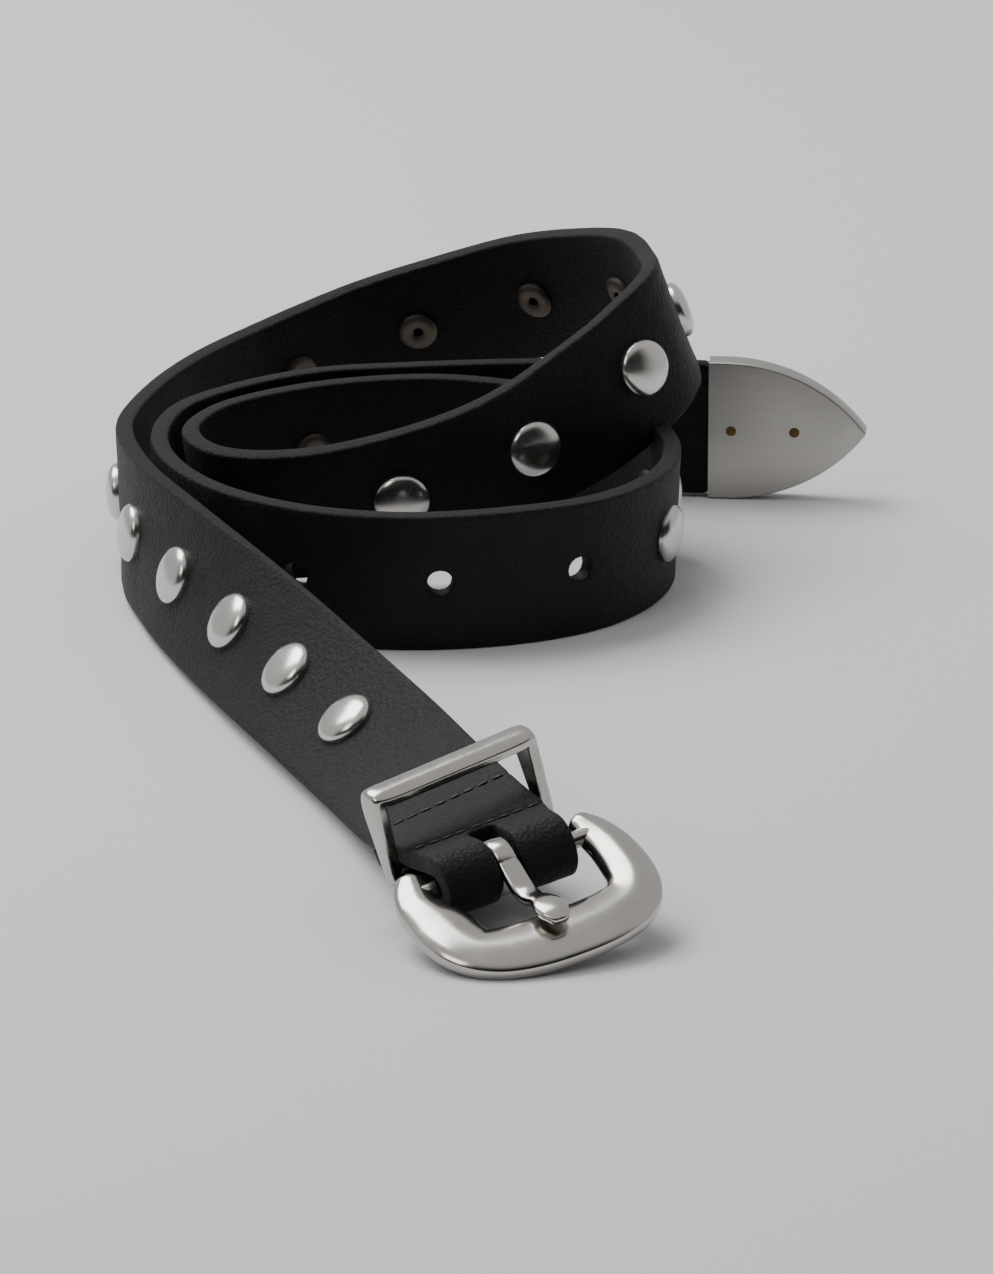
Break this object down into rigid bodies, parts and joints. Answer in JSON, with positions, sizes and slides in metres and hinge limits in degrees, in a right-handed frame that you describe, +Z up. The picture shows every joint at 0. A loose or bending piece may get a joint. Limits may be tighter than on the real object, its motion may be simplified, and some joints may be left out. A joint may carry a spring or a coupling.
{
  "type": "studded belt",
  "caption": "Black leather belt with round metal studs, lying in a loose coil: frame buckle with prong, metal keeper and pointed metal tip.",
  "frame": {"origin": "centre of the belt's box, at the height it rests on", "axes": "+Z up, +Y from the buckle towards the coil, +X towards the belt's tip"},
  "size_m": [0.167, 0.349, 0.0623],
  "materials": {
    "leather": "soft sheen, fine grain",
    "stud_metal": "satin nickel",
    "buckle_metal": "satin nickel",
    "tip_metal": "brushed nickel"
  },
  "bodies": {
    "strap": {"strap": "leather", "stud_01": "stud_metal", "stud_02": "stud_metal", "stud_03": "stud_metal", "stud_04": "stud_metal", "stud_05": "stud_metal", "stud_06": "stud_metal", "stud_07": "stud_metal", "stud_08": "stud_metal", "stud_09": "stud_metal", "stud_10": "stud_metal", "stud_11": "stud_metal", "stud_12": "stud_metal", "stud_13": "stud_metal", "stud_14": "stud_metal", "stud_15": "stud_metal", "stud_16": "stud_metal", "stud_17": "stud_metal", "stud_18": "stud_metal", "stud_19": "stud_metal", "stud_20": "stud_metal", "stud_21": "stud_metal", "stud_22": "stud_metal", "stud_23": "stud_metal", "belt_tip": "tip_metal", "tip_pin_1": "tip_metal", "tip_pin_2": "tip_metal"},
    "keeper": {"keeper": "buckle_metal"},
    "buckle": {"buckle_frame": "buckle_metal"},
    "prong": {"prong": "buckle_metal"}
  },
  "joints": [
    {"name": "keeper_tilt", "type": "hinge", "parent": "strap", "child": "keeper", "pos_m": [-0.0033, -0.12933, 0.01071], "axis": [0.8148, 0.5427, 0.2039], "range_deg": [-25, 15]},
    {"name": "buckle_hinge", "type": "hinge", "parent": "strap", "child": "buckle", "pos_m": [0.00298, -0.14487, 0.01262], "axis": [-0.8709, -0.4654, -0.158], "range_deg": [0, 45]},
    {"name": "prong_hinge", "type": "hinge", "parent": "buckle", "child": "prong", "pos_m": [0.00298, -0.14487, 0.01262], "axis": [-0.8709, -0.4654, -0.158], "range_deg": [0, 80]}
  ]
}
